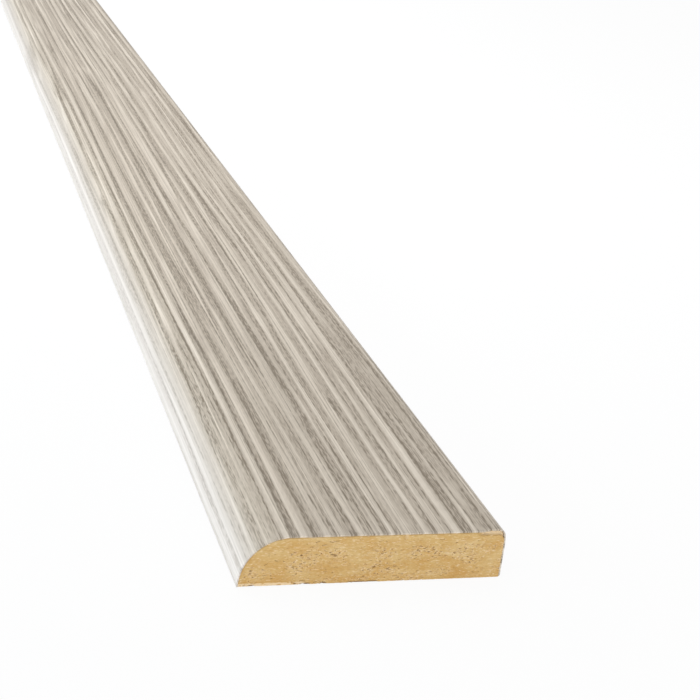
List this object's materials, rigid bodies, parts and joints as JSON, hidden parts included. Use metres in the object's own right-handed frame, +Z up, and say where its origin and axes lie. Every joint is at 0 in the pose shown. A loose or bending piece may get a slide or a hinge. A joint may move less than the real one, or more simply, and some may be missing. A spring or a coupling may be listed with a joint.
{
  "type": "floor beading",
  "caption": "Flat floor beading with a quarter-round nose and a square back edge, in foil-wrapped MDF. It covers the gap between a floor's edge and the skirting.",
  "frame": {"origin": "middle of the underside, on the surface that the strip lies on", "axes": "+X from the nose to the back edge, +Y along the strip, +Z up from the underside to the show face"},
  "size_m": [0.036, 2.4, 0.007],
  "materials": {
    "mdf": "bare MDF, sawn at the ends, matt",
    "wood_print_foil": "foil printed with a pale grey straight-grained wood, lightly embossed, satin"
  },
  "bodies": {
    "root": {"mdf_core": "mdf", "decor_foil": "wood_print_foil"}
  },
  "joints": []
}
